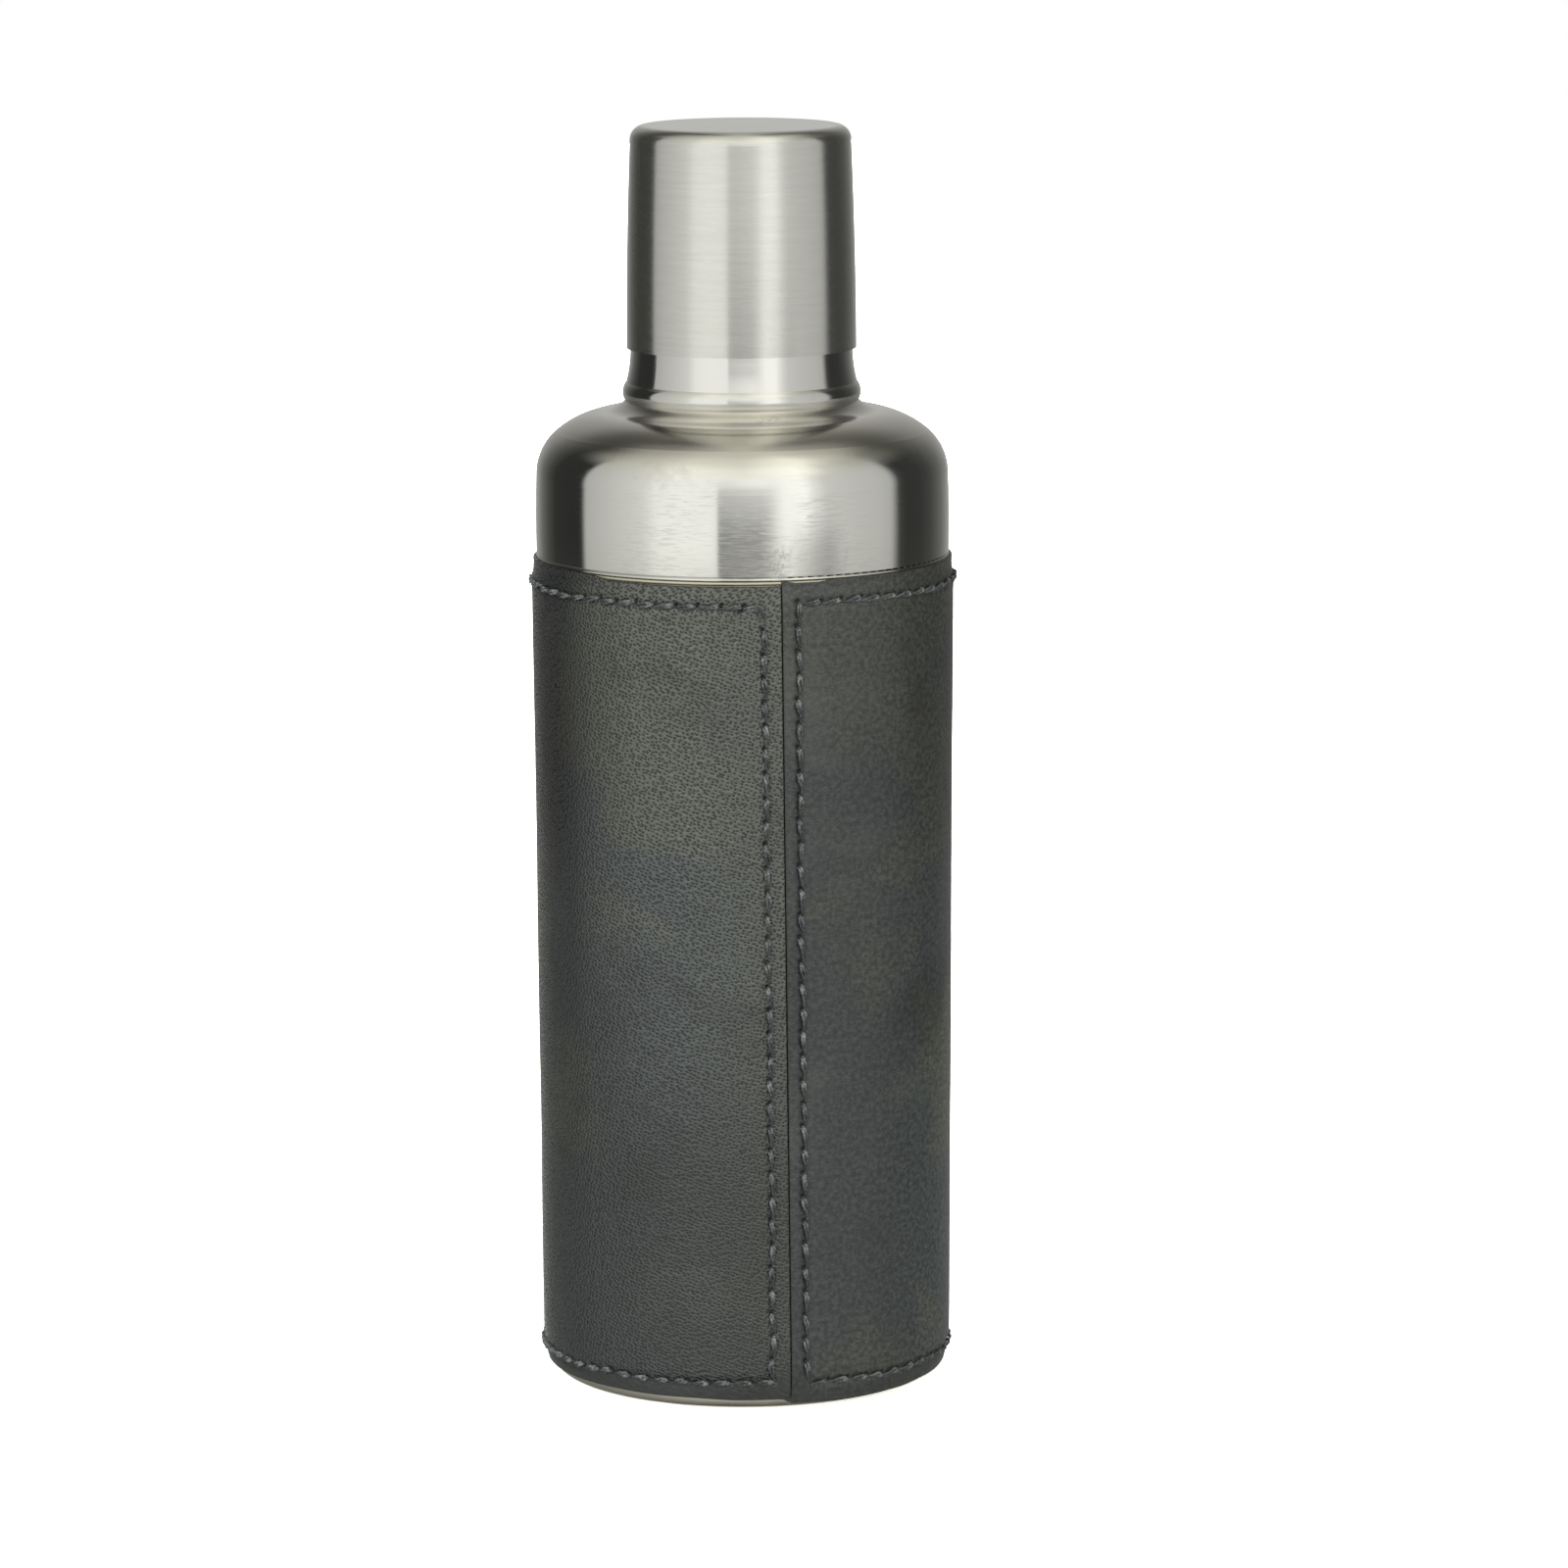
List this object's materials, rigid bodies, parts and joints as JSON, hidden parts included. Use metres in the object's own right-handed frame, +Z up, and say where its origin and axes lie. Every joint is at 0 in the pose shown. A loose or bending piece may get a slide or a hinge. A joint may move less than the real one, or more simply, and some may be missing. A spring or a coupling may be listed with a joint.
{
  "type": "leather-sleeved shaker flask",
  "caption": "Round tapered steel beaker in a stitched leather sleeve, closed by a lift-off domed strainer top and a slip-on cup cap.",
  "frame": {"origin": "centre of the flat ring that the beaker stands on", "axes": "+Z up along the axis of the beaker, neck and cap; -Y is the front, where the sleeve's seam is"},
  "size_m": [0.0812, 0.0812, 0.2392],
  "materials": {
    "beaker_steel": "satin",
    "dome_steel": "polished with fine hairlines",
    "polished_steel": "polished",
    "brushed_steel": "fine brushing round the axis",
    "leather": "matte, pebbled grain",
    "lining": "matte",
    "thread": "waxed"
  },
  "bodies": {
    "beaker_body": {"beaker": "beaker_steel", "sleeve_lining": "lining", "leather_sleeve": "leather", "top_hem_stitches": "thread", "bottom_hem_stitches": "thread", "left_seam_stitches": "thread", "right_seam_stitches": "thread"},
    "top_body": {"dome": "dome_steel", "plug_ring": "dome_steel", "neck_collar": "polished_steel", "strainer": "polished_steel"},
    "cap_body": {"cap": "brushed_steel"}
  },
  "joints": [
    {"name": "top_lift", "type": "slide", "parent": "beaker_body", "child": "top_body", "axis": [0, 0, 1], "range_m": [0, 0.06]},
    {"name": "cap_lift", "type": "slide", "parent": "top_body", "child": "cap_body", "axis": [0, 0, 1], "range_m": [0, 0.06]}
  ]
}
